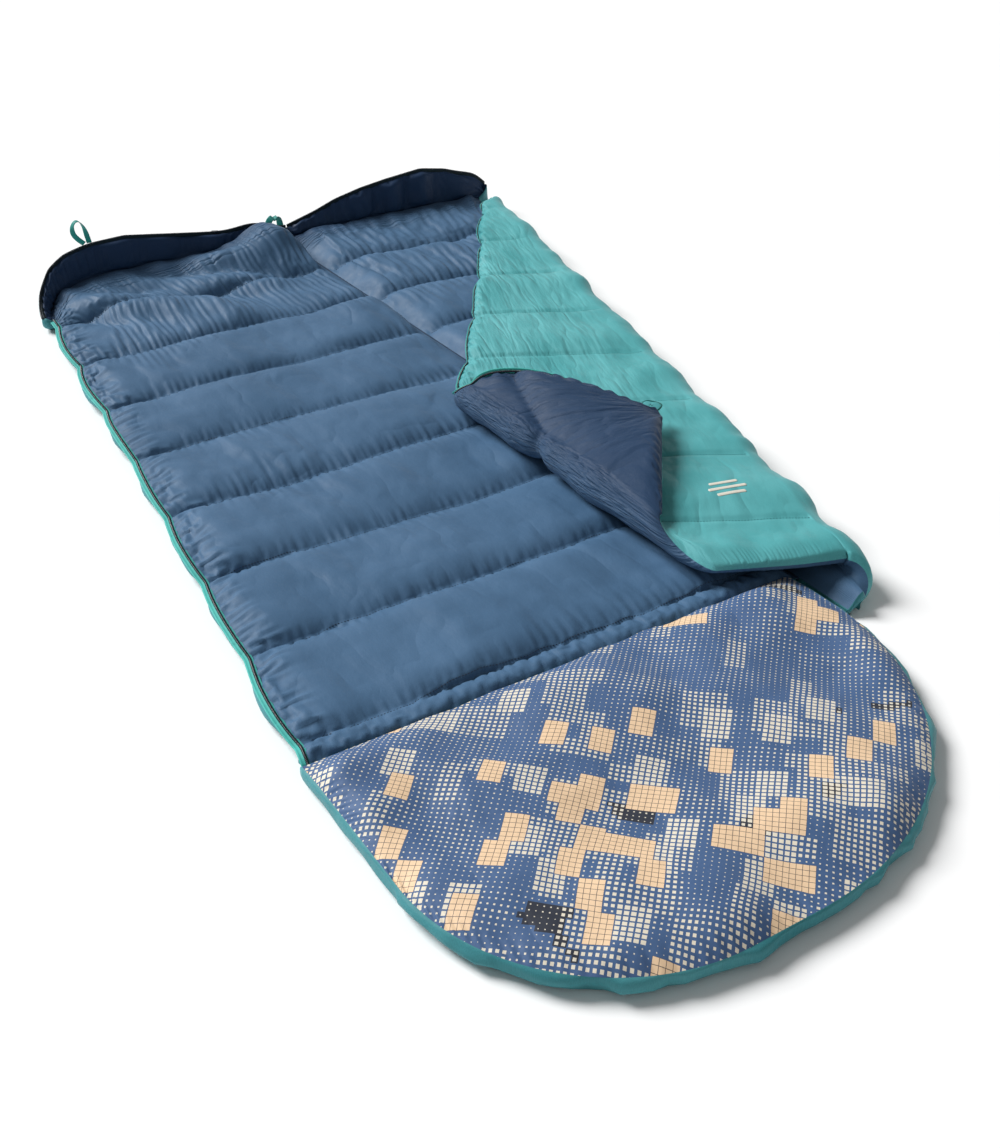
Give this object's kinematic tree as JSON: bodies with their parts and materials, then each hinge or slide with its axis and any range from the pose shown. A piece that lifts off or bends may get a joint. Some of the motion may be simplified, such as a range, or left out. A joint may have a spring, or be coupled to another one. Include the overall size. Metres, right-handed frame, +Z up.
{
  "type": "hooded sleeping bag opened as a quilt",
  "caption": "Quilted hooded sleeping bag unzipped and opened out as a camp quilt, its cover folded back over the bottom layer and one corner turned open.",
  "frame": {"origin": "on the resting plane under the middle of the shoulder line, where the printed hood lining starts", "axes": "+Y from the hood to the foot along the bag, +X from the zip side to the sewn side seam, +Z up"},
  "size_m": [1.363, 2.232, 0.152],
  "materials": {
    "shell_cloth": "satin",
    "lining_cloth": "satin",
    "print_cloth": "satin",
    "wadding": "matte",
    "lining_thread": "matte",
    "shell_thread": "matte",
    "zip_tape": "matte",
    "zip_coil": "satin",
    "binding_tape": "matte",
    "slider_metal": "satin",
    "pull_plastic": "satin",
    "webbing": "matte",
    "tab_cloth": "satin",
    "mark_print": "matte"
  },
  "bodies": {
    "bottom_layer": {"bottom_outer_shell": "shell_cloth", "bottom_insulation": "wadding", "bottom_lining": "lining_cloth", "bottom_quilting": "lining_thread", "hood_outer_shell": "shell_cloth", "hood_insulation": "wadding", "hood_lining": "print_cloth", "cover_outer_shell": "shell_cloth", "cover_insulation": "wadding", "cover_lining": "lining_cloth", "cover_quilting": "lining_thread", "side_seam_binding": "binding_tape", "foot_wall_bottom_outer_shell": "shell_cloth", "foot_wall_bottom_insulation": "wadding", "foot_wall_bottom_lining": "lining_cloth", "foot_wall_cover_outer_shell": "shell_cloth", "foot_wall_cover_insulation": "wadding", "foot_wall_cover_lining": "lining_cloth", "foot_zip_tape_bottom": "zip_tape", "foot_zip_coil_bottom": "zip_coil", "foot_zip_tape_cover": "zip_tape", "foot_zip_coil_cover": "zip_coil", "side_zip_tape": "zip_tape", "side_zip_coil": "zip_coil", "zip_end_stop": "zip_coil"},
    "folded_cover": {"cover_fold_outer_shell": "shell_cloth", "cover_fold_insulation": "wadding", "cover_fold_lining": "lining_cloth", "flap_outer_shell": "shell_cloth", "flap_insulation": "wadding", "flap_lining": "lining_cloth", "flap_quilting": "shell_thread", "flap_zip_tape": "zip_tape", "flap_zip_coil": "zip_coil", "printed_mark": "mark_print"},
    "cover_corner": {"corner_fold_outer_shell": "shell_cloth", "corner_fold_insulation": "wadding", "corner_fold_lining": "lining_cloth", "corner_outer_shell": "shell_cloth", "corner_insulation": "wadding", "corner_lining": "lining_cloth", "corner_quilting": "lining_thread", "corner_zip_tape": "zip_tape", "corner_zip_coil": "zip_coil"},
    "lower_slider": {"lower_slider": "slider_metal"},
    "upper_slider": {"upper_slider": "slider_metal"},
    "lower_pull_tab": {"lower_pull_tab": "pull_plastic"},
    "upper_pull_tab": {"upper_pull_tab": "pull_plastic"},
    "hook_tab": {"hook_tab": "tab_cloth"},
    "corner_hang_loop": {"corner_hang_loop": "webbing"},
    "seam_hang_loop": {"seam_hang_loop": "webbing"}
  },
  "joints": [
    {"name": "cover_fold", "type": "hinge", "parent": "bottom_layer", "child": "folded_cover", "pos_m": [0.431, -0.105, 0.037], "axis": [0.2584, 0.966, 0], "range_deg": [0, 170], "deforming": ["cover_fold_outer_shell", "cover_fold_insulation", "cover_fold_lining"]},
    {"name": "corner_fold", "type": "hinge", "parent": "folded_cover", "child": "cover_corner", "pos_m": [0.264, 0.3, 0.077], "axis": [0, -1, 0], "range_deg": [0, 175], "deforming": ["corner_fold_outer_shell", "corner_fold_insulation", "corner_fold_lining"]},
    {"name": "hook_tab_lift", "type": "hinge", "parent": "cover_corner", "child": "hook_tab", "pos_m": [0.45, 0.39, 0.0983], "axis": [0.4472, -0.8944, 0], "range_deg": [0, 85]},
    {"name": "lower_slider_run", "type": "slide", "parent": "bottom_layer", "child": "lower_slider", "axis": [-0.9882, 0, 0.1532], "range_m": [0, 0.06]},
    {"name": "upper_slider_run", "type": "slide", "parent": "bottom_layer", "child": "upper_slider", "axis": [-0.9882, 0, 0.1532], "range_m": [0, 0.19]},
    {"name": "lower_pull_swing", "type": "hinge", "parent": "lower_slider", "child": "lower_pull_tab", "pos_m": [0.32358, 1.6934, 0.0535], "axis": [0.9882, 0, -0.1532], "range_deg": [0, 150]},
    {"name": "upper_pull_swing", "type": "hinge", "parent": "upper_slider", "child": "upper_pull_tab", "pos_m": [0.23069, 1.6934, 0.0679], "axis": [0.9882, 0, -0.1532], "range_deg": [0, 150]},
    {"name": "corner_loop_flop", "type": "hinge", "parent": "bottom_layer", "child": "corner_hang_loop", "pos_m": [-0.065, 1.703, 0.102], "axis": [-1, 0, 0], "range_deg": [0, 120], "stiffness_Nm_per_rad": 0.003},
    {"name": "seam_loop_flop", "type": "hinge", "parent": "bottom_layer", "child": "seam_hang_loop", "pos_m": [0.378, 1.703, 0.04], "axis": [-1, 0, 0], "range_deg": [0, 120], "stiffness_Nm_per_rad": 0.003}
  ]
}
